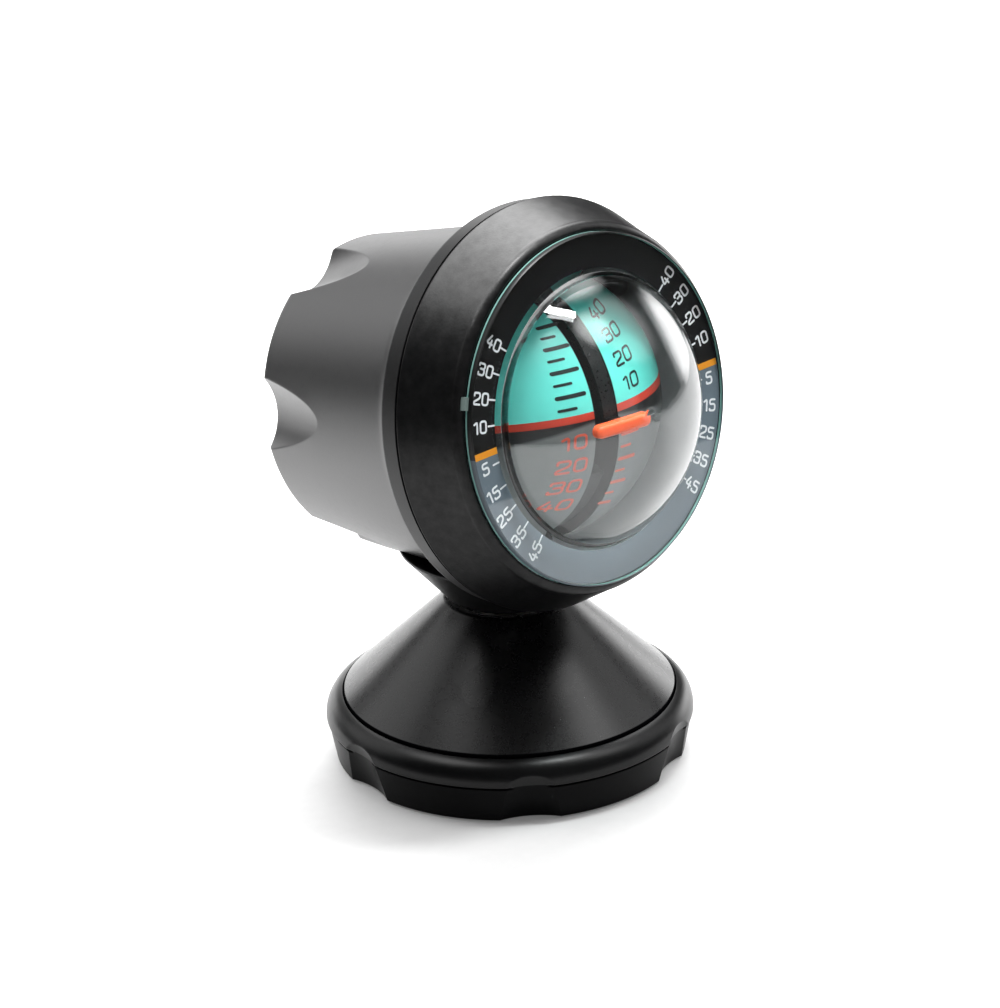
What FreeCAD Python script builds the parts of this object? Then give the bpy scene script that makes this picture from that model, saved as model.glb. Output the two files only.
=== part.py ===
import FreeCAD, Part
import math
import os

Vector = FreeCAD.Vector

# A stick-on dashboard inclinometer. Millimetres, +Z up, the origin at the centre of the
# sticky face, the dial facing -Y. The head's pieces are drawn in the head's own frame:
# X to the viewer's right, Y up the dial, Z out of the dial, Z = 0 on the back of the lens's flat rim.
# The casing is sized from the capsule outwards, the ball joint from the base upwards.

# ---- Screws ----
screw_shank_radius = 1.0
screw_head_radius = 1.9
screw_head_height = 1.2
screw_head_sink = 0.1       # a sunk head lies this far below its plate
screw_slot_width = 0.5
screw_slot_depth = 0.5
screw_hole_clearance = 0.1

# ---- Base: pad, plate, ring ----
pad_thickness = 1.2
plate_radius = 24.1
plate_thickness = 2.0
plate_top = pad_thickness + plate_thickness
screw_seat = pad_thickness + screw_head_height + screw_head_sink
pad_inset = 1.3
pad_radius = plate_radius - pad_inset
ring_clearance = 0.2
ring_bore_radius = plate_radius + ring_clearance
ring_lip_reach = 1.3
ring_lip_radius = ring_bore_radius - ring_lip_reach  # held between the plate and the cone
ring_lip_thickness = 1.3
ring_lip_gap = 0.08
ring_lip_foot = plate_top + ring_lip_gap
ring_lip_top = ring_lip_foot + ring_lip_thickness
ring_foot = 0.35
ring_foot_wall = 1.9
ring_foot_radius = ring_bore_radius + ring_foot_wall
ring_skirt_top = 5.75
ring_skirt_flare = 1.05
ring_skirt_top_radius = ring_foot_radius + ring_skirt_flare
ring_groove_depth = 0.35    # the fine groove under the shoulder
ring_groove_height = 0.3
ring_shoulder_step = 0.25   # the shoulder stands out of the skirt
ring_shoulder_radius = ring_skirt_top_radius + ring_shoulder_step
ring_shoulder_height = 6.15
ring_shoulder_bulge = 0.75  # how far the shoulder's arc stands out of its chord
ring_top = 9.75
ring_top_wall = 0.7
ring_top_radius = ring_bore_radius + ring_top_wall
scallop_count = 6
base_scallop_turn = -8.8    # bearing of the first scallop from +X, degrees
base_scallop_cut_radius = 12.0
base_scallop_depth = 1.3    # at the foot of the skirt
base_scallop_top = 7.5
base_scallop_top_depth = 0.45
base_scallop_top_radius = ring_shoulder_radius - base_scallop_top_depth

# ---- Ball joint ----
ball_radius = 8.6
socket_clearance = 0.08
bore_clearance = 0.2
socket_mouth_angle = 40.0   # from straight up, seen from the ball's centre
socket_tube_wall = 2.2
socket_tube_radius = ball_radius + bore_clearance + socket_tube_wall
seat_clearance = 0.06
seat_room = 1.55            # for the spring, above the plate
seat_foot = plate_top + seat_room
seat_floor = 1.15
seat_height = 5.75
seat_top = seat_foot + seat_height
seat_hole_radius = 1.5
ball_centre_z = seat_foot + seat_floor + ball_radius
socket_tube_gap = 0.15
socket_tube_foot = seat_foot + socket_tube_gap
spring_inner_radius = 4.5
spring_outer_radius = 8.2
spring_thickness = 0.5
spring_gap = 0.05
plate_stub_clearance = 0.3  # inside the spring
plate_stub_radius = spring_inner_radius - plate_stub_clearance
plate_stub_gap = 0.55       # below the seat
plate_stub_top = seat_foot - plate_stub_gap
neck_radius = 3.2
stem_radius = 2.4
stem_clearance = 0.06
washer_radius = 4.6
washer_thickness = 0.4
clip_radius = 4.2
clip_thickness = 0.6
clip_groove_radius = 2.0
clip_gap = 0.05
clip_opening = 2.6
clip_to_tip = 0.6           # the stem goes on above its clip

# ---- Base: cone ----
foot_under_radius = 14.5    # the foot's hollow underside, about the ball's centre
foot_swing_gap = 0.604      # between that hollow and the cone's top edge
cone_wall = 2.0
cone_seam_gap = 0.16
cone_foot = ring_top + cone_seam_gap
cone_top_radius = 9.3
cone_top_reach = foot_under_radius - foot_swing_gap
cone_top = ball_centre_z + math.sqrt(cone_top_reach ** 2 - cone_top_radius ** 2)
cone_slope = (cone_top - cone_foot) / (ring_top_radius - cone_top_radius)
cone_mouth_land = 1.1
cone_mouth_radius = cone_top_radius - cone_mouth_land  # outer end of the mouth's flare
cone_edge_round = 0.35
cone_edge_mid = 0.14        # the rounded edge's middle, out and down from the mouth's corner
cone_spigot_clearance = 0.1
cone_spigot_radius = ring_bore_radius - cone_spigot_clearance
cone_spigot_wall = 1.4
spigot_foot = ring_lip_top + ring_lip_gap
base_screw_count = 3
base_screw_circle = 17.0
base_screw_boss_radius = 2.4
base_screw_boss_gap = 0.05
base_screw_length = 8.0

# ---- Foot of the head ----
foot_spot_depth = 0.8       # the flat spot, below the top of the hollow
foot_spot_z = ball_centre_z + foot_under_radius - foot_spot_depth
foot_edge_inset = 0.05
foot_edge_radius = cone_top_radius - foot_edge_inset
foot_rim_radius = 15.8
foot_rim_rise = 5.2
foot_rim_z = foot_spot_z + foot_rim_rise
foot_rim_land = 0.35
foot_boss_radius = 5.0
foot_boss_drop = 1.4        # below the rim
foot_boss_top = foot_rim_z - foot_boss_drop
foot_boss_clearance = 0.05
foot_screw_x = 10.5
foot_screw_rise = 2.0
foot_screw_seat = foot_rim_z + foot_screw_rise
foot_screw_length = 5.2
foot_screw_tip = foot_screw_seat - foot_screw_length
foot_screw_boss_radius = 2.7
foot_screw_boss_length = 4.4
foot_screw_boss_foot = foot_screw_seat - foot_screw_boss_length
washer_foot = foot_boss_top + clip_gap
clip_foot = washer_foot + washer_thickness + clip_gap
stem_top = clip_foot + clip_thickness + clip_to_tip

# ---- Head: liquid capsule ----
bowl_radius = 20.25         # inside
bowl_wall = 1.5
bowl_centre = -14.0
bowl_back = bowl_centre - bowl_radius
dial_width = 4.8
dial_bore_radius = bowl_radius
dial_outer_radius = dial_bore_radius + dial_width
dial_thickness = 0.8
dial_gap = 0.06             # room for the print under the lens
dial_front = -dial_gap
dial_back = dial_front - dial_thickness
lens_land = 0.35            # the lens covers the dial's edge
lens_radius = dial_outer_radius + lens_land
lens_thickness = 1.2        # the flat rim stands proud of the bezel
lens_edge_chamfer = 0.15
lens_tab_angle = 162.0      # from the viewer's right
lens_tab_width = 1.9
lens_tab_length = 0.75
lens_tab_reach = lens_radius + lens_tab_length
lens_tab_back = -0.5
lens_tab_front = 0.6
lens_tab_clearance = 0.1
dome_foot_inset = 1.05
dome_foot_radius = dial_bore_radius - dome_foot_inset
dome_foot_height = 2.2      # the foot's straight wall ends here
dome_radius = 23.4
dome_wall = 1.8
seal_inset = 1.25           # the seal lies in a groove behind the dial
seal_width = 2.0
seal_inner_radius = bowl_radius + seal_inset
seal_outer_radius = seal_inner_radius + seal_width
seal_thickness = 0.6
bowl_flange_clearance = 0.1
bowl_flange_radius = lens_radius - bowl_flange_clearance
bowl_flange_thickness = 2.1
flange_back = dial_back - bowl_flange_thickness
bush_boss_radius = 3.8
bush_boss_length = 8.15
bush_boss_back = bowl_back - bush_boss_length
bush_boss_end = 1.4
bush_bore_back = bush_boss_back + bush_boss_end
bush_radius = 2.0
bush_length = 2.2
bush_flange_radius = 3.0
bush_flange_thickness = 0.5
plug_radius = 1.6
plug_head_radius = 2.4
plug_head_height = 1.0
plug_angle = 60.0           # up from the back of the bowl, degrees

# ---- Head: cup ----
seam = -9.4                 # where the bezel meets the cup
seam_gap = 0.3
cup_wall = 2.2
cup_room = 1.75             # around the bowl
cup_neck_radius = bowl_radius + bowl_wall + cup_room
cup_lip_height = 3.4
cup_lip_back = seam - cup_lip_height
cup_neck_front_drop = 2.2
cup_neck_front = cup_lip_back - cup_neck_front_drop
cup_flare_turn = 2.1        # the flare turns from steep to gentle this far behind the lip
cup_flare_mid = cup_lip_back - cup_flare_turn
cup_flare_length = 3.6
cup_flare_back = cup_flare_mid - cup_flare_length
cup_flare_back_radius = cup_neck_radius + cup_wall
cup_flare_gentle = 1.2
cup_flare_mid_radius = cup_flare_back_radius + cup_flare_gentle
cup_flare_steep = 2.3
cup_flare_front_radius = cup_flare_mid_radius + cup_flare_steep
cup_lip_land = 0.35
cup_lip_back_radius = cup_flare_front_radius + cup_lip_land
cup_lip_draft = 0.45
cup_lip_radius = cup_lip_back_radius + cup_lip_draft
cup_back_wall = 2.2
cup_back_room = 1.8         # behind the bowl's boss
cup_back = bush_boss_back - cup_back_room - cup_back_wall
cup_taper = 2.8
cup_back_radius = cup_flare_back_radius - cup_taper
cup_edge_round = 1.0
cup_spigot_inset = 2.4
cup_spigot_radius = cup_lip_radius - cup_spigot_inset
cup_spigot_length = 3.0
cup_spigot_front = seam + cup_spigot_length
cup_spigot_wall = 1.6
cup_inner_mid_rise = 16.4
cup_inner_mid = cup_back + cup_inner_mid_rise
cup_inner_mid_inset = 3.4
cup_inner_mid_radius = cup_flare_back_radius - cup_inner_mid_inset
cup_scoop_turn = -6.0       # bearing of the first scoop from the viewer's right, degrees
cup_scoop_cut_radius = 7.8
cup_scoop_depth = 3.0       # at the cup's back
cup_scoop_floor_radius = cup_back_radius - cup_scoop_depth
cup_scoop_length = 14.0
cup_scoop_tip = cup_back + cup_scoop_length
cup_scoop_tip_rise = 1.45
cup_scoop_tip_radius = cup_back_radius + cup_scoop_tip_rise
cup_scoop_wall = 1.7
cup_inner_back_radius = cup_scoop_floor_radius - cup_scoop_wall
cup_dish_radius = 14.0
cup_dish_depth = 0.6

# ---- Head: bezel ----
bezel_overhang = 0.1        # the bezel's edge stands out over the cup's lip
bezel_back_radius = cup_lip_radius + bezel_overhang
bezel_bore_clearance = 0.1
bezel_bore_radius = lens_radius + bezel_bore_clearance
bezel_land = 0.3
bezel_front = -0.1
bezel_front_radius = bezel_bore_radius + bezel_land
bezel_edge_mid = -0.42      # the front edge is rounded over
bezel_edge_mid_reach = 0.7
bezel_edge_mid_radius = bezel_front_radius + bezel_edge_mid_reach
bezel_edge_back = -1.3
bezel_edge_reach = 1.18
bezel_edge_back_radius = bezel_front_radius + bezel_edge_reach
bezel_side_bulge = 0.045
bezel_mid = (bezel_edge_back + seam) / 2
bezel_mid_radius = (bezel_edge_back_radius + bezel_back_radius) / 2 + bezel_side_bulge
bezel_shelf_clearance = 0.85
bezel_shelf_radius = bowl_radius + bowl_wall + bezel_shelf_clearance
bezel_shelf_thickness = 1.5
bezel_spigot_clearance = 0.1
bezel_back_bore = cup_spigot_radius + bezel_spigot_clearance

# ---- Head: where it stands ----
head_tilt = 10.7            # how far the dial looks up, degrees
head_sink = 4.1             # the head's lowest edge reaches this far below the foot's rim
dial_centre_y = -19.0
dial_centre_z = foot_rim_z + bezel_back_radius - head_sink

# ---- Works inside the capsule ----
globe_centre = -14.2
globe_radius = 14.0
globe_wall = 1.4
frame_half_thickness = 1.0
axle_washer_radius = 2.1
axle_washer_thickness = 0.5
axle_washer_room = 0.2
slot_half_width = frame_half_thickness + axle_washer_thickness + axle_washer_room
hub_radius = 2.3
hub_length = 4.2
roll_at_rest = -2.4         # turn of the works about the head's axis, degrees
frame_hub_radius = 3.0
frame_spine_half_height = 1.9
arm_sink = 2.1              # the arm lies in the globe's slot and stands a little out of it
arm_proud = 0.7
arm_inner_radius = globe_radius - arm_sink
arm_outer_radius = globe_radius + arm_proud
arm_tip_angle = -6.0        # below the head's axis, degrees
pointer_stalk_half_height = 0.7
pointer_stalk_half_thickness = 0.8
pointer_stand = 2.35        # of the bar's back face, off the globe
pointer_radius = globe_radius + pointer_stand
pointer_half_length = 4.3
pointer_half_height = 0.85
pointer_thickness = 1.4
pointer_edge_round = 0.56
pointer_stalk_hold = 0.6    # how far the stalk goes into the arm
frame_boss_radius = 2.3
frame_boss_front = 0.3      # behind the globe
frame_boss_gap = 0.15       # clear of the front bush
shaft_radius = 1.0
shaft_front_gap = 0.8       # behind the globe
shaft_front = globe_centre - globe_radius - shaft_front_gap
shaft_clearance = 0.05
shaft_end_gap = 0.2
shaft_clip_radius = 1.7
shaft_clip_thickness = 0.4
shaft_clip_groove = 0.75
weight_arm_radius = 5.0
weight_inset = 1.0
weight_outer_radius = globe_radius - weight_inset
weight_half_angle = 55.0
axle_radius = 0.75
axle_end_gap = 0.3          # in the blind end of the hubs
axle_half_length = slot_half_width + hub_length - axle_end_gap
axle_clearance = 0.05
axle_bush_radius = 1.6
ballast_depth = 7.5         # of the weight, up from the globe's lowest place
ballast_level = ballast_depth - globe_radius
ballast_inset = 4.5
ballast_outer = globe_radius - ballast_inset
ballast_gap = 0.05


def spin(start, *steps):
    """Turn an outline of (radius, height) points about Z.

    A step of two numbers is a straight line, a step of four is an arc through
    the first point to the second.
    """
    edges = []
    here = Vector(start[0], 0, start[1])
    first = here
    for step in steps:
        there = Vector(step[-2], 0, step[-1])
        if len(step) == 4:
            middle = Vector(step[0], 0, step[1])
            edges.append(Part.Arc(here, middle, there).toShape())
        else:
            edges.append(Part.LineSegment(here, there).toShape())
        here = there
    if here.distanceToPoint(first) > 1e-6:
        edges.append(Part.LineSegment(here, first).toShape())
    face = Part.Face(Part.Wire(edges))
    return face.revolve(Vector(0, 0, 0), Vector(0, 0, 1), 360)


def rod(radius, low, high, x=0.0, y=0.0):
    return Part.makeCylinder(radius, high - low, Vector(x, y, low))


def ring(inner, outer, low, high):
    return rod(outer, low, high).cut(rod(inner, low, high))


def cross_rod(radius, start, end):
    return Part.makeCylinder(radius, end - start, Vector(start, 0, 0), Vector(1, 0, 0))


def ball(radius, height=0.0):
    return Part.makeSphere(radius, Vector(0, 0, height))


def polar(radius, angle, height=0.0):
    """A point of a half circle about (0, height), its angle from straight up."""
    turn = math.radians(angle)
    return radius * math.sin(turn), height + radius * math.cos(turn)


def fuse(first, *others):
    return first.fuse(list(others)).removeSplitter()


def around(shape, count, turn):
    """Copies of a shape, evenly spaced about Z."""
    copies = []
    for index in range(count):
        copy = shape.copy()
        copy.rotate(Vector(0, 0, 0), Vector(0, 0, 1), turn + index * 360.0 / count)
        copies.append(copy)
    return copies


def in_head(shape):
    """Move a shape from the head's frame to the object's."""
    place = FreeCAD.Placement(Vector(0, dial_centre_y, dial_centre_z),
                              FreeCAD.Rotation(Vector(1, 0, 0), 90 - head_tilt))
    moved = shape.copy()
    moved.Placement = place.multiply(moved.Placement)
    return moved


def in_works(shape):
    """Move a shape drawn about the globe's centre to its place in the head."""
    place = FreeCAD.Placement(Vector(0, 0, globe_centre),
                              FreeCAD.Rotation(Vector(0, 0, 1), roll_at_rest))
    moved = shape.copy()
    moved.Placement = place.multiply(moved.Placement)
    return in_head(moved)


def screw(seat, tip, x, y, up=True):
    """A pan head screw along Z: its head stands on the seat, its tip points the other way."""
    side = 1 if up else -1
    axis = Vector(0, 0, side)
    shank = Part.makeCylinder(screw_shank_radius, abs(seat - tip), Vector(x, y, seat), axis * -1)
    head = Part.makeCylinder(screw_head_radius, screw_head_height, Vector(x, y, seat), axis)
    low = seat + side * (screw_head_height - screw_slot_depth)
    corner = Vector(x - screw_head_radius, y - screw_slot_width / 2,
                    min(low, low + side * screw_head_height))
    slot = Part.makeBox(2 * screw_head_radius, screw_slot_width, screw_head_height, corner)
    return fuse(shank, head).cut(slot)


# ---------------------------------------------------------------- base

def cone_height(radius):
    """Height of the cone's outside at a radius."""
    return cone_foot + (ring_top_radius - radius) * cone_slope


def adhesive_pad():
    return rod(pad_radius, 0, pad_thickness)


def base_screw_holes(radius, low, high):
    hole = rod(radius, low, high, x=base_screw_circle)
    return around(hole, base_screw_count, 90.0)


def base_plate():
    disc = rod(plate_radius, pad_thickness, plate_top)
    stub = rod(plate_stub_radius, pad_thickness, plate_stub_top)
    shanks = base_screw_holes(screw_shank_radius + screw_hole_clearance, 0, plate_top)
    heads = base_screw_holes(screw_head_radius + screw_hole_clearance, 0, screw_seat)
    return fuse(disc, stub).cut(shanks + heads)


def base_scallop():
    """A leaning cylinder that scoops one finger scallop out of the ring's skirt."""
    floor_foot = Vector(ring_foot_radius - base_scallop_depth, 0, ring_foot)
    floor_top = Vector(base_scallop_top_radius, 0, base_scallop_top)
    lean = (floor_top - floor_foot).normalize()
    outward = Vector(lean.z, 0, -lean.x)
    start = floor_foot + outward * base_scallop_cut_radius - lean * ring_top
    return Part.makeCylinder(base_scallop_cut_radius, 4 * ring_top, start, lean)


def base_ring():
    middle_r = (ring_shoulder_radius + ring_top_radius) / 2
    middle_z = (ring_shoulder_height + ring_top) / 2
    bulge = ring_shoulder_bulge * math.sqrt(0.5)
    groove_radius = ring_skirt_top_radius - ring_groove_depth
    shape = spin((ring_bore_radius, ring_foot),
                 (ring_foot_radius, ring_foot),
                 (ring_skirt_top_radius, ring_skirt_top),
                 (groove_radius, ring_skirt_top),
                 (groove_radius, ring_skirt_top + ring_groove_height),
                 (ring_shoulder_radius, ring_shoulder_height),
                 (middle_r + bulge, middle_z + bulge, ring_top_radius, ring_top),
                 (ring_bore_radius, ring_top))
    shape = shape.cut(around(base_scallop(), scallop_count, base_scallop_turn))
    return fuse(shape, ring(ring_lip_radius, ring_bore_radius, ring_lip_foot, ring_lip_top))


def base_cone():
    edge_r = cone_top_radius + cone_edge_round
    outer = ((ring_top_radius, cone_foot),
             (edge_r, cone_height(edge_r)),
             (cone_top_radius + cone_edge_mid, cone_top - cone_edge_mid,
              cone_top_radius - cone_edge_round, cone_top))
    drop = cone_wall * math.hypot(1, cone_slope)
    inner = ball_radius + socket_clearance
    mouth_r, mouth_z = polar(inner, socket_mouth_angle, ball_centre_z)
    mid_r, mid_z = polar(inner, (90 + socket_mouth_angle) / 2, ball_centre_z)
    bore = ball_radius + bore_clearance
    spigot_bore = cone_spigot_radius - cone_spigot_wall
    shell = spin((cone_spigot_radius, spigot_foot),
                 (cone_spigot_radius, cone_foot),
                 *outer,
                 (cone_mouth_radius, cone_top),
                 (mouth_r, mouth_z),
                 (mid_r, mid_z, inner, ball_centre_z),
                 (bore, ball_centre_z),
                 (bore, socket_tube_foot),
                 (socket_tube_radius, socket_tube_foot),
                 (socket_tube_radius, cone_height(socket_tube_radius) - drop),
                 (spigot_bore, cone_height(spigot_bore) - drop),
                 (spigot_bore, spigot_foot))
    full = spin((0, 0), (ring_top_radius, 0), *outer, (0, cone_top))
    bosses = base_screw_holes(base_screw_boss_radius, plate_top + base_screw_boss_gap, cone_top)
    bosses = [boss.common(full) for boss in bosses]
    pilots = base_screw_holes(screw_shank_radius, 0, screw_seat + base_screw_length)
    return fuse(shell, *bosses).cut(pilots)


def base_screws():
    one = screw(screw_seat, screw_seat + base_screw_length, base_screw_circle, 0, up=False)
    return Part.makeCompound(around(one, base_screw_count, 90.0))


def seat_spring():
    """A dished washer that pushes the seat up against the ball."""
    low = plate_top + spring_gap
    high = seat_foot - spring_gap - spring_thickness
    return spin((spring_outer_radius, low), (spring_outer_radius, low + spring_thickness),
                (spring_inner_radius, high + spring_thickness), (spring_inner_radius, high))


def ball_seat():
    pocket = ball(ball_radius + seat_clearance, ball_centre_z)
    seat = ring(seat_hole_radius, ball_radius + bore_clearance - seat_clearance, seat_foot, seat_top)
    return seat.cut(pocket)


# ---------------------------------------------------------------- ball stud

def ball_stud():
    neck = rod(neck_radius, ball_centre_z, foot_spot_z - clip_gap)
    stem = rod(stem_radius, ball_centre_z, stem_top)
    groove = ring(clip_groove_radius, clip_radius, clip_foot, clip_foot + clip_thickness)
    return fuse(ball(ball_radius, ball_centre_z), neck, stem).cut(groove)


def stem_washer():
    return ring(stem_radius + stem_clearance, washer_radius, washer_foot,
                washer_foot + washer_thickness)


def stem_clip():
    clip = ring(clip_groove_radius, clip_radius, clip_foot, clip_foot + clip_thickness)
    corner = Vector(0, -clip_opening / 2, clip_foot)
    return clip.cut(Part.makeBox(2 * clip_radius, clip_opening, clip_thickness, corner))


# ---------------------------------------------------------------- head casing

def bezel_body(back):
    """The bezel's outside as a full solid, down to a plane near the seam."""
    return spin((0, bezel_front),
                (bezel_front_radius, bezel_front),
                (bezel_edge_mid_radius, bezel_edge_mid, bezel_edge_back_radius, bezel_edge_back),
                (bezel_mid_radius, bezel_mid, bezel_back_radius, back),
                (0, back))


def cup_body():
    """The cup's outside as a full solid."""
    body = spin((0, seam),
                (cup_lip_radius, seam),
                (cup_lip_back_radius, cup_lip_back),
                (cup_flare_front_radius, cup_lip_back),
                (cup_flare_mid_radius, cup_flare_mid, cup_flare_back_radius, cup_flare_back),
                (cup_back_radius, cup_back),
                (0, cup_back))
    edge = [e for e in body.Edges
            if abs(e.BoundBox.ZMin - cup_back) < 1e-3 and abs(e.BoundBox.ZMax - cup_back) < 1e-3
            and e.BoundBox.XLength > cup_back_radius]
    return body.makeFillet(cup_edge_round, edge[:1])


def cup_scoop():
    """A leaning cylinder that scoops one grip out of the cup's back edge."""
    floor_back = Vector(cup_scoop_floor_radius, 0, cup_back)
    floor_tip = Vector(cup_scoop_tip_radius, 0, cup_scoop_tip)
    lean = (floor_tip - floor_back).normalize()
    outward = Vector(lean.z, 0, -lean.x)
    start = floor_back + outward * cup_scoop_cut_radius - lean * cup_back_radius
    return Part.makeCylinder(cup_scoop_cut_radius, 3 * cup_back_radius, start, lean)


def cup_hollow():
    front = cup_spigot_radius - cup_spigot_wall
    back = cup_back + cup_back_wall
    return spin((0, cup_spigot_front), (front, cup_spigot_front), (front, cup_lip_back),
                (cup_neck_radius, cup_neck_front), (cup_inner_mid_radius, cup_inner_mid),
                (cup_inner_back_radius, back), (0, back))


def foot_screw_places():
    return [-foot_screw_x, foot_screw_x]


def foot_screw_holes(radius, low, high):
    return [rod(radius, low, high, x=x) for x in foot_screw_places()]


def rear_cup():
    body = cup_body().cut(around(cup_scoop(), scallop_count, cup_scoop_turn))
    body = body.cut(rod(cup_dish_radius, cup_back, cup_back + cup_dish_depth))
    body = fuse(body, rod(cup_spigot_radius, cup_lip_back, cup_spigot_front))
    shell = in_head(body.cut(cup_hollow()))
    bosses = foot_screw_holes(foot_screw_boss_radius, foot_screw_boss_foot, foot_screw_seat)
    bosses = [boss.common(in_head(cup_body())) for boss in bosses]
    shell = fuse(shell, *bosses)
    holes = foot_screw_holes(screw_shank_radius + screw_hole_clearance, 0, foot_screw_seat)
    holes += foot_screw_holes(screw_head_radius + 2 * screw_hole_clearance, foot_screw_seat,
                              foot_screw_seat + 2 * screw_head_height)
    stem_hole = rod(foot_boss_radius + foot_boss_clearance, 0, foot_screw_seat)
    return shell.cut(holes + [stem_hole])


def lens_tab(clearance):
    """The small key on the lens's edge; with a clearance, the notch for it."""
    half = lens_tab_width / 2 + clearance
    reach = lens_tab_reach + clearance
    back = lens_tab_back - clearance
    tab = Part.makeBox(reach, 2 * half, lens_tab_front - back, Vector(0, -half, back))
    tab = tab.common(ring(dial_outer_radius, reach, back, lens_tab_front))
    tab.rotate(Vector(0, 0, 0), Vector(0, 0, 1), lens_tab_angle)
    return tab


def bezel():
    # the capsule's flange stands on a ledge inside
    bore = rod(bezel_bore_radius, flange_back, 0)
    shelf_back = flange_back - bezel_shelf_thickness
    shelf = rod(bezel_shelf_radius, shelf_back, flange_back)
    back = rod(bezel_back_bore, seam, shelf_back)
    body = bezel_body(seam + seam_gap)
    return in_head(body.cut([bore, shelf, back, lens_tab(lens_tab_clearance)]))


def foot():
    under_z = ball_centre_z + math.sqrt(foot_under_radius ** 2 - foot_edge_radius ** 2)
    spot_r = math.sqrt(foot_under_radius ** 2 - (foot_spot_z - ball_centre_z) ** 2)
    spot_angle = math.degrees(math.asin(spot_r / foot_under_radius))
    edge_angle = math.degrees(math.asin(foot_edge_radius / foot_under_radius))
    mid_r, mid_z = polar(foot_under_radius, (spot_angle + edge_angle) / 2, ball_centre_z)
    saucer = spin((0, foot_spot_z),
                  (spot_r, foot_spot_z),
                  (mid_r, mid_z, foot_edge_radius, under_z),
                  (foot_rim_radius, foot_rim_z - foot_rim_land),
                  (foot_rim_radius, foot_rim_z),
                  (0, foot_rim_z))
    below = saucer.cut([in_head(cup_body()), in_head(bezel_body(seam))])
    boss = rod(foot_boss_radius, foot_spot_z, foot_boss_top)
    pilots = foot_screw_holes(screw_shank_radius, foot_screw_tip, foot_screw_seat)
    bore = rod(stem_radius + stem_clearance, 0, foot_boss_top)
    return fuse(below, boss).cut(pilots + [bore])


def foot_screws():
    return Part.makeCompound([screw(foot_screw_seat, foot_screw_tip, x, 0)
                              for x in foot_screw_places()])


# ---------------------------------------------------------------- liquid capsule

dome_centre = dome_foot_height - math.sqrt(dome_radius ** 2 - dome_foot_radius ** 2)
bush_seat = bowl_centre - math.sqrt(bowl_radius ** 2 - bush_flange_radius ** 2)


def dome_lens():
    mid_angle = math.degrees(math.asin(dome_foot_radius / dome_radius)) / 2
    mid_r, mid_z = polar(dome_radius, mid_angle, dome_centre)
    body = spin((0, 0),
                (lens_radius, 0),
                (lens_radius, lens_thickness - lens_edge_chamfer),
                (lens_radius - lens_edge_chamfer, lens_thickness),
                (dome_foot_radius, lens_thickness),
                (dome_foot_radius, dome_foot_height),
                (mid_r, mid_z, 0, dome_centre + dome_radius))
    body = fuse(body, lens_tab(0))
    return in_head(body.cut(ball(dome_radius - dome_wall, dome_centre)))


def dial_ring():
    return in_head(ring(dial_bore_radius, dial_outer_radius, dial_back, dial_front))


def dome_seal():
    return in_head(ring(seal_inner_radius, seal_outer_radius, dial_back - seal_thickness, dial_back))


def bowl_plug_axis():
    """Where the filler plug goes through the back of the bowl, and which way."""
    turn = math.radians(plug_angle)
    outward = Vector(0, math.sin(turn), -math.cos(turn))
    return Vector(0, 0, bowl_centre) + outward * bowl_radius, outward


def capsule_bowl():
    outer = bowl_radius + bowl_wall
    flange = rod(bowl_flange_radius, flange_back, dial_back)
    sides = rod(outer, bowl_centre, flange_back)
    end = ball(outer, bowl_centre).common(rod(outer, bowl_centre - outer, bowl_centre))
    boss = rod(bush_boss_radius, bush_boss_back, bowl_back)
    hollow = fuse(rod(bowl_radius, bowl_centre, dial_back), ball(bowl_radius, bowl_centre))
    bore = rod(bush_radius, bush_bore_back, bowl_back + bowl_wall)
    inner, outward = bowl_plug_axis()
    plug_hole = Part.makeCylinder(plug_radius, 3 * bowl_wall, inner - outward * bowl_wall, outward)
    groove = ring(seal_inner_radius, seal_outer_radius, dial_back - seal_thickness, dial_back)
    return in_head(fuse(flange, sides, end, boss).cut([hollow, bore, plug_hole, groove]))


def filler_plug():
    inner, outward = bowl_plug_axis()
    core = Part.makeCylinder(plug_radius, bowl_wall, inner, outward)
    head_seat = inner + outward * bowl_wall
    head = Part.makeCylinder(plug_head_radius, plug_head_height, head_seat, outward)
    head = head.cut(ball(bowl_radius + bowl_wall, bowl_centre))
    return in_head(fuse(core, head))


def shaft_bush(back, flanged):
    bush = ring(shaft_radius + shaft_clearance, bush_radius, back, back + bush_length)
    if flanged:
        flange = ring(shaft_radius + shaft_clearance, bush_flange_radius,
                      back + bush_length, back + bush_length + bush_flange_thickness)
        bush = fuse(bush, flange)
    return in_head(bush)


def front_bush():
    # the flange's edge lies on the round bowl
    return shaft_bush(bush_seat - bush_length, True)


def rear_bush():
    return shaft_bush(bush_bore_back, False)


# ---------------------------------------------------------------- works

def roll_shaft():
    shaft = rod(shaft_radius, bush_bore_back + shaft_end_gap, shaft_front)
    back = shaft_clip_back()
    groove = ring(shaft_clip_groove, shaft_clip_radius, back, back + shaft_clip_thickness)
    return in_head(shaft.cut(groove))


def shaft_clip_back():
    return bush_seat - bush_length - clip_gap - shaft_clip_thickness


def shaft_clip():
    back = shaft_clip_back()
    clip = ring(shaft_clip_groove, shaft_clip_radius, back, back + shaft_clip_thickness)
    corner = Vector(0, -shaft_clip_groove, back)
    mouth = Part.makeBox(shaft_clip_radius, 2 * shaft_clip_groove, shaft_clip_thickness, corner)
    return in_head(clip.cut(mouth))


def plate_of(points):
    """A flat plate in the middle plane of the works, from (up, out) points."""
    corners = [Vector(-frame_half_thickness, up, out) for up, out in points]
    face = Part.Face(Part.makePolygon(corners + corners[:1]))
    return face.extrude(Vector(2 * frame_half_thickness, 0, 0))


def slot_disc(radius):
    return cross_rod(radius, -frame_half_thickness, frame_half_thickness)


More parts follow.
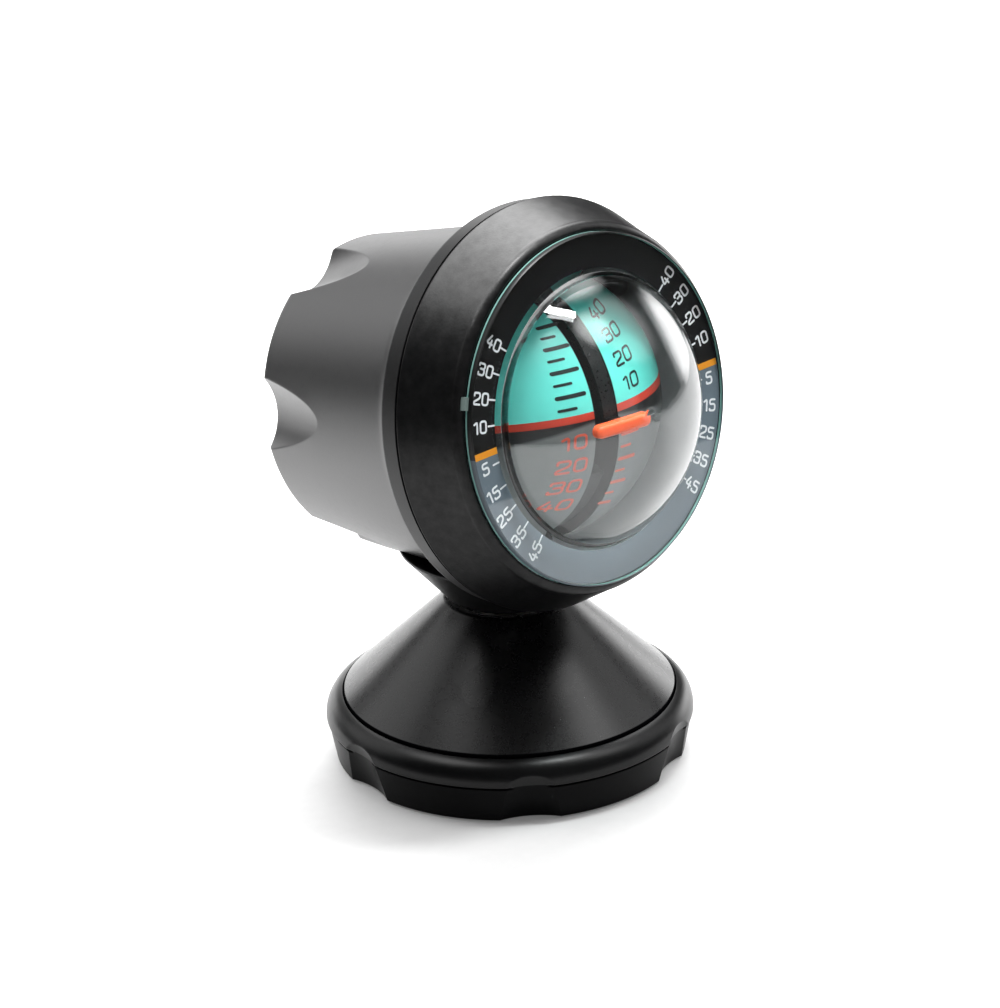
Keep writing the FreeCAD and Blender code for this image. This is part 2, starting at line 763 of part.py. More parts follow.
def wedge(low, high, reach):
    """A sector of the middle plane between two angles above the head's axis."""
    points = [(0, 0)]
    steps = max(2, int((high - low) / 30) + 1)
    for index in range(steps + 1):
        turn = math.radians(low + (high - low) * index / steps)
        points.append((reach * math.sin(turn), reach * math.cos(turn)))
    return plate_of(points)


def roll_frame():
    arm_ring = slot_disc(arm_outer_radius).cut(slot_disc(arm_inner_radius))
    arm = arm_ring.common(wedge(arm_tip_angle, 180.0, 2 * arm_outer_radius))
    half = frame_spine_half_height
    spine = plate_of([(-half, 0), (half, 0), (half, -arm_outer_radius), (-half, -arm_outer_radius)])
    spine = spine.common(slot_disc(arm_outer_radius))
    hub = slot_disc(frame_hub_radius)
    hanger = plate_of([(0, -half), (0, half), (-weight_arm_radius, half), (-weight_arm_radius, -half)])
    hanger = hanger.common(slot_disc(weight_arm_radius))
    boss_back = bush_seat + bush_flange_thickness + frame_boss_gap
    boss = rod(frame_boss_radius, boss_back - globe_centre, -globe_radius - frame_boss_front)
    stalk_length = pointer_radius - arm_outer_radius + pointer_stalk_hold
    stalk = Part.makeBox(2 * pointer_stalk_half_thickness, 2 * pointer_stalk_half_height,
                         stalk_length,
                         Vector(-pointer_stalk_half_thickness, -pointer_stalk_half_height,
                                pointer_radius - stalk_length))
    stalk.rotate(Vector(0, 0, 0), Vector(1, 0, 0), -arm_tip_angle)
    frame = fuse(arm, spine, hub, hanger, boss, stalk)
    bush_hole = slot_disc(axle_bush_radius)
    shaft_hole = rod(shaft_radius, boss_back - globe_centre, shaft_front - globe_centre)
    return in_works(frame.cut([bush_hole, shaft_hole]))


def roll_weight():
    sector = wedge(-90 - weight_half_angle, -90 + weight_half_angle, 2 * weight_outer_radius)
    plate = slot_disc(weight_outer_radius).cut(slot_disc(weight_arm_radius))
    return in_works(plate.common(sector))


def pointer_bar():
    straight = pointer_half_length - pointer_half_height
    low = pointer_radius
    high = pointer_radius + pointer_thickness
    box = Part.makeBox(2 * straight, 2 * pointer_half_height, pointer_thickness,
                       Vector(-straight, -pointer_half_height, low))
    ends = [rod(pointer_half_height, low, high, x=x) for x in (-straight, straight)]
    bar = fuse(box, *ends)
    front = [e for e in bar.Edges if e.BoundBox.ZMin > high - 1e-3]
    bar = bar.makeFillet(pointer_edge_round, front)
    bar.rotate(Vector(0, 0, 0), Vector(1, 0, 0), -arm_tip_angle)
    return in_works(bar)


def axle_bush():
    outer = cross_rod(axle_bush_radius, -frame_half_thickness, frame_half_thickness)
    inner = cross_rod(axle_radius + axle_clearance, -frame_half_thickness, frame_half_thickness)
    return in_works(outer.cut(inner))


def pitch_axle():
    return in_works(cross_rod(axle_radius, -axle_half_length, axle_half_length))


def axle_washers():
    gap = (slot_half_width - frame_half_thickness - axle_washer_thickness) / 2
    start = frame_half_thickness + gap
    solids = []
    for side in (1, -1):
        low = min(side * start, side * (start + axle_washer_thickness))
        washer = cross_rod(axle_washer_radius, low, low + axle_washer_thickness)
        hole = cross_rod(axle_radius, low, low + axle_washer_thickness)
        solids.append(washer.cut(hole))
    return in_works(Part.makeCompound(solids))


def beyond(start, end):
    """A block that holds all of the works between two places along the axle."""
    reach = 2 * globe_radius
    return Part.makeBox(end - start, 2 * reach, 2 * reach, Vector(start, -reach, -reach))


def globe_half(side):
    """One half of the globe: a hollow ball, closed by a flat web beside the slot."""
    far = 2 * globe_radius
    near_web = slot_half_width + globe_wall
    outer = ball(globe_radius).common(beyond(slot_half_width, far))
    inner = ball(globe_radius - globe_wall).common(beyond(near_web, far))
    hub = cross_rod(hub_radius, slot_half_width, slot_half_width + hub_length)
    half = fuse(outer.cut(inner), hub)
    half = half.cut(cross_rod(axle_radius, 0, axle_half_length))
    if side < 0:
        half = half.mirror(Vector(0, 0, 0), Vector(1, 0, 0))
    return in_works(half)


def ballast(side):
    """A weight cast to the inside of one half, straight below the axle."""
    start = slot_half_width + globe_wall + ballast_gap
    inside = ball(globe_radius - globe_wall - ballast_gap)
    reach = 2 * globe_radius
    low = Part.makeBox(ballast_outer - start, reach, 2 * reach,
                       Vector(start, ballast_level - reach, -reach))
    weight = inside.common(low)
    weight.rotate(Vector(0, 0, 0), Vector(1, 0, 0), head_tilt)
    if side < 0:
        weight = weight.mirror(Vector(0, 0, 0), Vector(1, 0, 0))
    return in_works(weight)


def save(name, shape):
    shape.exportStep("parts/%s.step" % name)
    volume = sum(solid.Volume for solid in shape.Solids)
    print("%-16s %d solid(s) %9.2f mm3 valid %s" % (name, len(shape.Solids), volume, shape.isValid()))


os.makedirs("parts", exist_ok=True)
save("adhesive_pad", adhesive_pad())
save("base_plate", base_plate())
save("base_ring", base_ring())
save("base_cone", base_cone())
save("base_screws", base_screws())
save("seat_spring", seat_spring())
save("ball_seat", ball_seat())
save("ball_stud", ball_stud())
save("stem_washer", stem_washer())
save("stem_clip", stem_clip())
save("foot", foot())
save("foot_screws", foot_screws())
save("rear_cup", rear_cup())
save("bezel", bezel())
save("dome_lens", dome_lens())
save("dial_ring", dial_ring())
save("dome_seal", dome_seal())
save("capsule_bowl", capsule_bowl())
save("filler_plug", filler_plug())
save("front_bush", front_bush())
save("rear_bush", rear_bush())
save("roll_shaft", roll_shaft())
save("shaft_clip", shaft_clip())
save("roll_frame", roll_frame())
save("roll_weight", roll_weight())
save("pointer_bar", pointer_bar())
save("axle_bush", axle_bush())
save("pitch_axle", pitch_axle())
save("axle_washers", axle_washers())
save("left_globe", globe_half(-1))
save("right_globe", globe_half(1))
save("left_ballast", ballast(-1))
save("right_ballast", ballast(1))
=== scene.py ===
import math
import bmesh
import bpy
from mathutils import Matrix, Vector


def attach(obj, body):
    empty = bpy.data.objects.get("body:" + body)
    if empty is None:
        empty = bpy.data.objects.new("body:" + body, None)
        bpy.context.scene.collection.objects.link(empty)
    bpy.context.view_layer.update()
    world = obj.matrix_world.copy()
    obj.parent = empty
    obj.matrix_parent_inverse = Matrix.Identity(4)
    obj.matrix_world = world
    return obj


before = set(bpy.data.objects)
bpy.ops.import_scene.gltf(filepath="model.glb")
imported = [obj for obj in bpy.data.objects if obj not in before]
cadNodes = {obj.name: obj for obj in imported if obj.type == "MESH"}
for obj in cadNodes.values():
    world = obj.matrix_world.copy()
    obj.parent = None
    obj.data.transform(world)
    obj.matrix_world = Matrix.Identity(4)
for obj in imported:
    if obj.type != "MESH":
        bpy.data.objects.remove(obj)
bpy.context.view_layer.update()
mm = 0.001
print("frame loaded,", len(cadNodes), "nodes")

# the head's frame: X to the reader's right, Y up the dial, Z out of it, Z = 0 on the back of the lens's rim
headFrame = {"tilt": 10.7, "dialY": -19.0, "dialZ": 59.4}
headPlace = (Matrix.Translation((0, headFrame["dialY"] * mm, headFrame["dialZ"] * mm))
             @ Matrix.Rotation(math.radians(90 - headFrame["tilt"]), 4, "X"))
# the ball's print: X along the axle, Y up, Z out of the horizon's front
ballFrame = {"centre": -14.2, "roll": -2.4, "pitch": 1.7, "radius": 14.0}
ballPlace = (headPlace @ Matrix.Translation((0, 0, ballFrame["centre"] * mm))
             @ Matrix.Rotation(math.radians(ballFrame["roll"]), 4, "Z")
             @ Matrix.Rotation(math.radians(ballFrame["pitch"]), 4, "X"))


def hexLinear(text):
    values = [int(text[i:i + 2], 16) / 255 for i in (1, 3, 5)]
    return tuple(v / 12.92 if v <= 0.04045 else ((v + 0.055) / 1.055) ** 2.4 for v in values) + (1.0,)


def addNode(tree, kind, settings=(), inputs=()):
    node = tree.nodes.new(kind)
    for name, value in dict(settings).items():
        setattr(node, name, value)
    for name, value in dict(inputs).items():
        if isinstance(value, bpy.types.NodeSocket):
            tree.links.new(value, node.inputs[name])
        else:
            node.inputs[name].default_value = value
    return node


def newMaterial(name):
    material = bpy.data.materials.new(name)
    material.use_nodes = True
    tree = material.node_tree
    shader = next(n for n in tree.nodes if n.type == "BSDF_PRINCIPLED")
    return material, tree, shader


def dress(names, material):
    # the CAD nodes keep their shapes and get a material
    for name in names:
        for slot in cadNodes[name].material_slots:
            slot.material = material


def perMetre(sizeMm):
    # a pattern's scale from its size in mm
    return 1 / (sizeMm * mm)


def upDistance(tree, place, origin, direction):
    # how far a point stands from a plane through origin
    moved = addNode(tree, "ShaderNodeVectorMath", {"operation": "SUBTRACT"})
    tree.links.new(place, moved.inputs[0])
    moved.inputs[1].default_value = origin
    dot = addNode(tree, "ShaderNodeVectorMath", {"operation": "DOT_PRODUCT"})
    tree.links.new(moved.outputs["Vector"], dot.inputs[0])
    dot.inputs[1].default_value = direction
    return dot.outputs["Value"]


def layColours(tree, mottle, under, layers):
    # each layer covers what lies past its edge, or short of it where its softness has a minus sign;
    # the two ends of a colour are mottled
    paint = addNode(tree, "ShaderNodeMixRGB", {}, {"Fac": mottle, "Color1": hexLinear(under[0]),
                                                  "Color2": hexLinear(under[-1])}).outputs["Color"]
    for value, edge, soft, ends in layers:
        cover = addNode(tree, "ShaderNodeMapRange", {}, {"Value": value, "From Min": (edge - soft) * mm,
                                                        "From Max": (edge + soft) * mm})
        tint = addNode(tree, "ShaderNodeMixRGB", {}, {"Fac": mottle, "Color1": hexLinear(ends[0]),
                                                     "Color2": hexLinear(ends[-1])})
        paint = addNode(tree, "ShaderNodeMixRGB", {}, {"Fac": cover.outputs["Result"], "Color1": paint,
                                                      "Color2": tint.outputs["Color"]}).outputs["Color"]
    return paint


def heading(azimuth, elevation):
    # azimuth 0 is in front of the dial and 90 at its right
    a, e = math.radians(azimuth), math.radians(elevation)
    return Vector((math.sin(a) * math.cos(e), -math.cos(a) * math.cos(e), math.sin(e)))


cameraFacts = {"azimuth": -44.37, "elevation": 23.29, "roll": -1.59, "distance": 700.03,
               "target": (-0.472, 0.461, 39.17), "lens": 169.94, "sensor": 36, "clipStart": 0.01}


def placeCamera(facts):
    back = heading(facts["azimuth"], facts["elevation"])
    right = heading(facts["azimuth"] + 90, 0)
    turn = (Matrix((right, back.cross(right), back)).transposed().to_4x4()
            @ Matrix.Rotation(math.radians(facts["roll"]), 4, "Z"))
    data = bpy.data.cameras.new("camera")
    data.lens = facts["lens"]
    data.sensor_width = facts["sensor"]
    data.clip_start = facts["clipStart"]
    camera = bpy.data.objects.new("camera", data)
    place = (Vector(facts["target"]) + back * facts["distance"]) * mm
    camera.matrix_world = Matrix.Translation(place) @ turn
    bpy.context.scene.collection.objects.link(camera)
    bpy.context.scene.camera = camera


placeCamera(cameraFacts)
print("camera placed")


white = (1, 1, 1, 1)
# sizes and distances in metres
windowLamp = {"azimuth": 44, "elevation": 78, "distance": 0.62, "size": (0.06, 0.20), "radiance": 80}
# soft pools of light in the studio: full within "inner" degrees of their middle, gone at "outer"
softPools = (
    {"azimuth": 134, "elevation": 53, "inner": 12, "outer": 30, "radiance": 9.0},
    {"azimuth": -140, "elevation": 73, "inner": 11, "outer": 20, "radiance": 6.0},
    {"azimuth": 146, "elevation": 4, "inner": 3, "outer": 18, "radiance": 2.2},
    {"azimuth": 168, "elevation": 3, "inner": 4, "outer": 13, "radiance": 3.0},
    {"azimuth": 95, "elevation": 0, "inner": 8, "outer": 18, "radiance": 5.2},
    {"azimuth": 62, "elevation": 38, "inner": 15, "outer": 24, "radiance": 1.4},
    {"azimuth": 42, "elevation": 56, "inner": 3, "outer": 15, "radiance": 4.5},
    {"azimuth": -156, "elevation": 34, "inner": 13, "outer": 27, "radiance": 1.7},
    {"azimuth": -10, "elevation": 34, "inner": 5, "outer": 60, "radiance": 0.12},
)
# the card glows more in a strip behind the object: from "start" to "full" metres along "behind",
# its middle line "shift" metres off the object and "side" metres wide on either hand, then fading
studio = {"darkLevel": 0.05, "floorRadius": 0.41, "nearGlow": 0.12, "farGlow": 1.0, "behind": 135.6,
          "start": -0.02, "full": 0.04, "shift": 0.09, "side": 0.19, "sideFade": 0.06, "aim": (0, -10, 50)}


def placeWindow(facts):
    out = heading(facts["azimuth"], facts["elevation"])
    along = heading(facts["azimuth"] + 90, 0)
    data = bpy.data.lights.new("windowLamp", "AREA")
    data.shape = "RECTANGLE"
    data.size, data.size_y = facts["size"]
    data.energy = facts["radiance"] * math.pi * data.size * data.size_y
    lamp = bpy.data.objects.new("windowLamp", data)
    place = Matrix((along, out.cross(along), out)).transposed().to_4x4()
    place.translation = Vector(studio["aim"]) * mm + out * facts["distance"]
    lamp.matrix_world = place
    bpy.context.scene.collection.objects.link(lamp)


def makeStudio():
    world = bpy.data.worlds.new("studio")
    world.use_nodes = True
    tree = world.node_tree
    background = next(n for n in tree.nodes if n.type == "BACKGROUND")
    look = addNode(tree, "ShaderNodeTexCoord").outputs["Generated"]
    total = None
    for pool in softPools:
        near = addNode(tree, "ShaderNodeVectorMath", {"operation": "DOT_PRODUCT"})
        tree.links.new(look, near.inputs[0])
        near.inputs[1].default_value = heading(pool["azimuth"], pool["elevation"])
        level = addNode(tree, "ShaderNodeMapRange", {"interpolation_type": "SMOOTHSTEP"},
                        {"Value": near.outputs["Value"], "From Min": math.cos(math.radians(pool["outer"])),
                         "From Max": math.cos(math.radians(pool["inner"])), "To Max": pool["radiance"]})
        start = studio["darkLevel"] if total is None else total
        total = addNode(tree, "ShaderNodeMath", {"operation": "ADD"},
                        {0: level.outputs["Result"], 1: start}).outputs["Value"]
    # the camera sees the backdrop as white
    seen = addNode(tree, "ShaderNodeLightPath").outputs["Is Camera Ray"]
    total = addNode(tree, "ShaderNodeMath", {"operation": "MAXIMUM"}, {0: total, 1: seen}).outputs["Value"]
    tree.links.new(total, background.inputs["Strength"])
    background.inputs["Color"].default_value = white
    bpy.context.scene.world = world


# matt white card: even, with a faint tooth, drawn at 2 mm, far coarser than paper's own, so that it shows
card = {"dark": "#C2C2C2", "light": "#C8C8C8", "tooth": 2, "rough": 0.9, "specular": 0.1, "segments": 128}


def makeFloor(facts):
    mesh = bpy.data.meshes.new("floor")
    build = bmesh.new()
    bmesh.ops.create_circle(build, cap_ends=True, segments=facts["segments"], radius=studio["floorRadius"])
    build.to_mesh(mesh)
    build.free()
    floor = bpy.data.objects.new("floor", mesh)
    bpy.context.scene.collection.objects.link(floor)
    material, tree, shader = newMaterial("whiteCardMatt")
    place = addNode(tree, "ShaderNodeTexCoord").outputs["Object"]
    tooth = addNode(tree, "ShaderNodeTexNoise", {}, {"Vector": place, "Scale": perMetre(facts["tooth"])})
    tint = layColours(tree, tooth.outputs["Fac"], (facts["dark"], facts["light"]), ())
    tree.links.new(tint, shader.inputs["Base Color"])
    shader.inputs["Roughness"].default_value = facts["rough"]
    shader.inputs["Specular IOR Level"].default_value = facts["specular"]
    # the camera, metal and glass see the card as white
    path = addNode(tree, "ShaderNodeLightPath")
    seen = path.outputs["Is Camera Ray"]
    for kind in ("Is Glossy Ray", "Is Transmission Ray"):
        seen = addNode(tree, "ShaderNodeMath", {"operation": "ADD", "use_clamp": True},
                       {0: seen, 1: path.outputs[kind]}).outputs["Value"]
    behind = upDistance(tree, place, (0, 0, 0), heading(studio["behind"], 0))
    level = addNode(tree, "ShaderNodeMapRange", {"interpolation_type": "SMOOTHSTEP"},
                    {"Value": behind, "From Min": studio["start"], "From Max": studio["full"],
                     "To Min": studio["nearGlow"], "To Max": studio["farGlow"]})
    beside = upDistance(tree, place, (0, 0, 0), heading(studio["behind"] + 90, 0))
    beside = addNode(tree, "ShaderNodeMath", {"operation": "ADD"}, {0: beside, 1: studio["shift"]})
    beside = addNode(tree, "ShaderNodeMath", {"operation": "ABSOLUTE"}, {0: beside.outputs["Value"]})
    strip = addNode(tree, "ShaderNodeMapRange", {"interpolation_type": "SMOOTHSTEP"},
                    {"Value": beside.outputs["Value"], "From Min": studio["side"],
                     "From Max": studio["side"] + studio["sideFade"],
                     "To Min": 1.0, "To Max": studio["nearGlow"]})
    glow = seen
    for part in (level, strip):
        glow = addNode(tree, "ShaderNodeMath", {"operation": "MULTIPLY"},
                       {0: glow, 1: part.outputs["Result"]}).outputs["Value"]
    tree.links.new(glow, shader.inputs["Emission Strength"])
    shader.inputs["Emission Color"].default_value = white
    mesh.materials.append(material)


bpy.context.scene.view_settings.view_transform = "Standard"
placeWindow(windowLamp)
makeStudio()
makeFloor(card)
print("lamps and floor placed")


# a spark-eroded grain is really under 0.05 mm: it is drawn at about 0.3 mm so that it shows;
# "low" and "high" are the mottle's usual ends, "depth" and a band's "soft" edge are in mm
sparkPattern = {"low": 0.3, "high": 0.7, "roughVary": 0.02, "grainDetail": 3.0, "grainRough": 0.6,
                "mottleDetail": 4.0, "mottleRough": 0.65, "cloudDetail": 2.0, "bevelSamples": 6,
                "depth": 0.02, "soft": 0.04}
# a band runs out of the dial along "head", from the lens's back, or "down" from the upright's zero
bandAxes = {"head": (headPlace.translation, headPlace.to_3x3().col[2]), "down": ((0, 0, 0), (0, 0, -1))}


def sparkedAbs(name, facts):
    # black ABS from a spark-eroded mould: a fine even grain that greys and mottles the highlights
    material, tree, shader = newMaterial(name)
    place = addNode(tree, "ShaderNodeTexCoord").outputs["Object"]
    grain = addNode(tree, "ShaderNodeTexNoise", {},
                    {"Vector": place, "Scale": perMetre(facts["grain"]),
                     "Detail": sparkPattern["grainDetail"], "Roughness": sparkPattern["grainRough"]})
    mottle = addNode(tree, "ShaderNodeTexNoise", {},
                     {"Vector": place, "Scale": perMetre(facts["mottle"]),
                      "Detail": sparkPattern["mottleDetail"], "Roughness": sparkPattern["mottleRough"]})
    cloud = addNode(tree, "ShaderNodeTexNoise", {},
                    {"Vector": place, "Scale": perMetre(facts["cloud"]),
                     "Detail": sparkPattern["cloudDetail"]})
    shade = layColours(tree, cloud.outputs["Fac"], (facts["dark"], facts["light"]), ())
    tree.links.new(shade, shader.inputs["Base Color"])
    varied = []
    for middle, vary in ((facts["rough"], sparkPattern["roughVary"]), (1, facts["patchy"])):
        node = addNode(tree, "ShaderNodeMapRange", {},
                       {"Value": mottle.outputs["Fac"], "From Min": sparkPattern["low"],
                        "From Max": sparkPattern["high"], "To Min": middle - vary, "To Max": middle + vary})
        varied.append(node.outputs["Result"])
    rough, patchy = varied
    tree.links.new(rough, shader.inputs["Roughness"])
    rounded = addNode(tree, "ShaderNodeBevel", {"samples": sparkPattern["bevelSamples"]},
                      {"Radius": facts["edge"] * mm})
    bump = addNode(tree, "ShaderNodeBump", {},
                   {"Height": grain.outputs["Fac"], "Strength": facts["bump"],
                    "Distance": sparkPattern["depth"] * mm, "Normal": rounded.outputs["Normal"]})
    tree.links.new(bump.outputs["Normal"], shader.inputs["Normal"])
    shader.inputs["IOR"].default_value = facts["ior"]
    # the gloss changes in bands across the part, each from its own edge on; some bands are painted
    # highlight and shade
    gloss = facts["gloss"]
    for band in facts["glossAndShadeBands"]:
        origin, direction = bandAxes[band["along"]]
        reach = upDistance(tree, place, origin, direction)
        soft = band.get("soft", sparkPattern["soft"])
        gloss = addNode(tree, "ShaderNodeMapRange", {},
                        {"Value": reach, "From Min": (band["from"] - soft) * mm,
                         "From Max": (band["from"] + soft) * mm,
                         "To Min": gloss, "To Max": band["gloss"]}).outputs["Result"]
    gloss = addNode(tree, "ShaderNodeMath", {"operation": "MULTIPLY", "use_clamp": True},
                    {0: gloss, 1: patchy})
    tree.links.new(gloss.outputs["Value"], shader.inputs["Specular IOR Level"])
    return material


# the cup's gloss drops from its lip on, and falls to nothing at its last edge beside the seam: painted
# shade, a dark line along the seam
cupFinish = {"dark": "#0C0C0D", "light": "#141415", "rough": 0.40, "grain": 0.3, "mottle": 1.1, "cloud": 9,
             "bump": 0.5, "edge": 0.45, "ior": 1.62, "gloss": 1.0, "patchy": 0.06,
             "glossAndShadeBands": [{"along": "head", "from": -12.85, "gloss": 0.18},
                       {"along": "head", "from": -9.65, "gloss": 0.0}]}
# painted highlight and shade: the bezel's gloss fades slowly from its top to its foot, so that its top
# shines and its foot stays dark
bezelFinish = {"dark": "#030304", "light": "#060607", "rough": 0.34, "grain": 0.34, "mottle": 1.8,
               "cloud": 7, "bump": 0.8, "edge": 0.25, "ior": 1.54, "gloss": 0.37, "patchy": 0.2,
               "glossAndShadeBands": [{"along": "down", "from": -58, "soft": 16, "gloss": 0.16}]}
# painted shade: the cone's gloss falls to nothing at its foot, a dark line where it goes into the ring
coneFinish = {"dark": "#020203", "light": "#040405", "rough": 0.28, "grain": 0.3, "mottle": 1.2, "cloud": 8,
              "bump": 0.2, "edge": 0.2, "ior": 1.54, "gloss": 0.34, "patchy": 0.04,
              "glossAndShadeBands": [{"along": "down", "from": -10.25, "gloss": 0.0}]}
# painted shade: the ring's gloss falls almost to nothing below 6.1 mm, so that the skirt stays dark near
# the floor
ringFinish = {"dark": "#020203", "light": "#040405", "rough": 0.32, "grain": 0.3, "mottle": 1.2, "cloud": 8,
              "bump": 0.2, "edge": 0.3, "ior": 1.54, "gloss": 0.22, "patchy": 0.04,
              "glossAndShadeBands": [{"along": "down", "from": -6.1, "gloss": 0.06}]}
footFinish = {"dark": "#020203", "light": "#040405", "rough": 0.40, "grain": 0.3, "mottle": 1.2, "cloud": 8,
              "bump": 0.3, "edge": 0.2, "ior": 1.54, "gloss": 0.22, "patchy": 0.04, "glossAndShadeBands": []}

dress(["rear_cup"], sparkedAbs("sparkedAbsCup", cupFinish))
dress(["bezel"], sparkedAbs("sparkedAbsBezel", bezelFinish))
dress(["base_cone"], sparkedAbs("sparkedAbsCone", coneFinish))
dress(["base_ring", "base_plate"], sparkedAbs("sparkedAbsRing", ringFinish))
dress(["foot"], sparkedAbs("sparkedAbsFoot", footFinish))
print("mouldings dressed")


# tool marks, foam cells and plating grain are really finer than each "grain" in mm: drawn so that they show
plainPattern = {"low": 0.3, "high": 0.7, "smoother": 0.04, "rougher": 0.05, "detail": 3.0, "depth": 0.02}


def plainFinish(name, facts):
    # each small part's own stock finish: a faint mottle so that it isn't one flat colour
    material, tree, shader = newMaterial(name)
    place = addNode(tree, "ShaderNodeTexCoord").outputs["Object"]
    mottle = addNode(tree, "ShaderNodeTexNoise", {},
                     {"Vector": place, "Scale": perMetre(facts["grain"]), "Detail": plainPattern["detail"]})
    shade = layColours(tree, mottle.outputs["Fac"], (facts["dark"], facts["light"]), ())
    tree.links.new(shade, shader.inputs["Base Color"])
    rough = addNode(tree, "ShaderNodeMapRange", {},
                    {"Value": mottle.outputs["Fac"], "From Min": plainPattern["low"],
                     "From Max": plainPattern["high"], "To Min": facts["rough"] - plainPattern["smoother"],
                     "To Max": facts["rough"] + plainPattern["rougher"]})
    tree.links.new(rough.outputs["Result"], shader.inputs["Roughness"])
    bump = addNode(tree, "ShaderNodeBump", {}, {"Height": mottle.outputs["Fac"], "Strength": facts["bump"],
                                               "Distance": plainPattern["depth"] * mm})
    tree.links.new(bump.outputs["Normal"], shader.inputs["Normal"])
    shader.inputs["Metallic"].default_value = facts["metallic"]
    return material


smallFinishes = {
    # soft white foam with open cells: chalky, no shine
    "foamTapeMatt": {"nodes": ["adhesive_pad"], "dark": "#D9D8D2", "light": "#ECEBE6", "rough": 0.9,
                     "grain": 0.4, "bump": 0.8, "metallic": 0.0},
    # acetal off a lathe: milky and slightly waxy
    "acetalTurned": {"nodes": ["ball_stud", "ball_seat", "axle_washers"], "dark": "#B9B8B1",
                     "light": "#CAC9C3", "rough": 0.35, "grain": 0.5, "bump": 0.2, "metallic": 0.0},
    # bright zinc on steel: a cool, slightly cloudy mirror
    "zincPlatedSteel": {"nodes": ["base_screws", "foot_screws", "stem_washer"], "dark": "#B4B6BA",
                        "light": "#CFD1D4", "rough": 0.3, "grain": 0.6, "bump": 0.1, "metallic": 1.0},
    # blued spring steel: dark with a steel sheen
    "springSteelBlued": {"nodes": ["seat_spring", "stem_clip", "shaft_clip"], "dark": "#4A4E57",
                         "light": "#6A6E75", "rough": 0.32, "grain": 0.5, "bump": 0.1, "metallic": 1.0},
    # ground stainless: bright and smooth
    "stainlessGround": {"nodes": ["roll_shaft", "pitch_axle"], "dark": "#C2C3C4", "light": "#D9DADB",
                        "rough": 0.2, "grain": 0.3, "bump": 0.1, "metallic": 1.0},
    # turned brass: warm, faint tool marks
    "brassTurned": {"nodes": ["front_bush", "rear_bush", "axle_bush"], "dark": "#C29A4E",
                    "light": "#D8B468", "rough": 0.28, "grain": 0.25, "bump": 0.2, "metallic": 1.0},
    # blackened steel weights: dull and dark
    "steelBlackened": {"nodes": ["roll_weight", "left_ballast", "right_ballast"], "dark": "#2A2A2C",
                       "light": "#3A3A3C", "rough": 0.5, "grain": 0.5, "bump": 0.2, "metallic": 1.0},
    # moulded nitrile rubber: deep black with a soft sheen
    "nitrileMoulded": {"nodes": ["dome_seal", "filler_plug"], "dark": "#050505", "light": "#0A0A0A",
                       "rough": 0.5, "grain": 0.4, "bump": 0.3, "metallic": 0.0},
    # moulded black acetal: almost no sheen in the liquid
    "acetalMouldedBlack": {"nodes": ["roll_frame"], "dark": "#040405", "light": "#070708", "rough": 0.3,
                           "grain": 0.4, "bump": 0.3, "metallic": 0.0},
    # sprayed orange-red enamel: opaque and glossy
    "enamelSprayed": {"nodes": ["pointer_bar"], "dark": "#FF5E30", "light": "#FF6A3C", "rough": 0.3,
                      "grain": 0.6, "bump": 0.1, "metallic": 0.0},
}
for finishName, finish in smallFinishes.items():
    dress(finish["nodes"], plainFinish(finishName, finish))
print("small parts dressed")


def clearPlastic(name, ior, tint):
    # lamps shine through it, as they do through a thin clear wall
    material, tree, shader = newMaterial(name)
    shader.inputs["Transmission Weight"].default_value = 1.0
    shader.inputs["Roughness"].default_value = 0.0
    shader.inputs["IOR"].default_value = ior
    shader.inputs["Base Color"].default_value = hexLinear(tint)
    clear = addNode(tree, "ShaderNodeBsdfTransparent", {}, {"Color": hexLinear(tint)})
    path = addNode(tree, "ShaderNodeLightPath")
    mix = addNode(tree, "ShaderNodeMixShader", {}, {"Fac": path.outputs["Is Shadow Ray"]})
    tree.links.new(shader.outputs["BSDF"], mix.inputs[1])
    tree.links.new(clear.outputs["BSDF"], mix.inputs[2])
    output = next(n for n in tree.nodes if n.type == "OUTPUT_MATERIAL")
    tree.links.new(mix.outputs["Shader"], output.inputs["Surface"])
    return material


# the liquid fills dome and bowl; its skin lies just inside their walls, so that light bends once for each
liquidFacts = {"overlap": 0.04, "domeRadius": 21.6, "domeCentre": -11.17, "bowlRadius": 20.25,
               "bowlCentre": -14.0, "segments": 96, "steps": 40, "ior": 1.40, "tint": "#FCFEFE"}


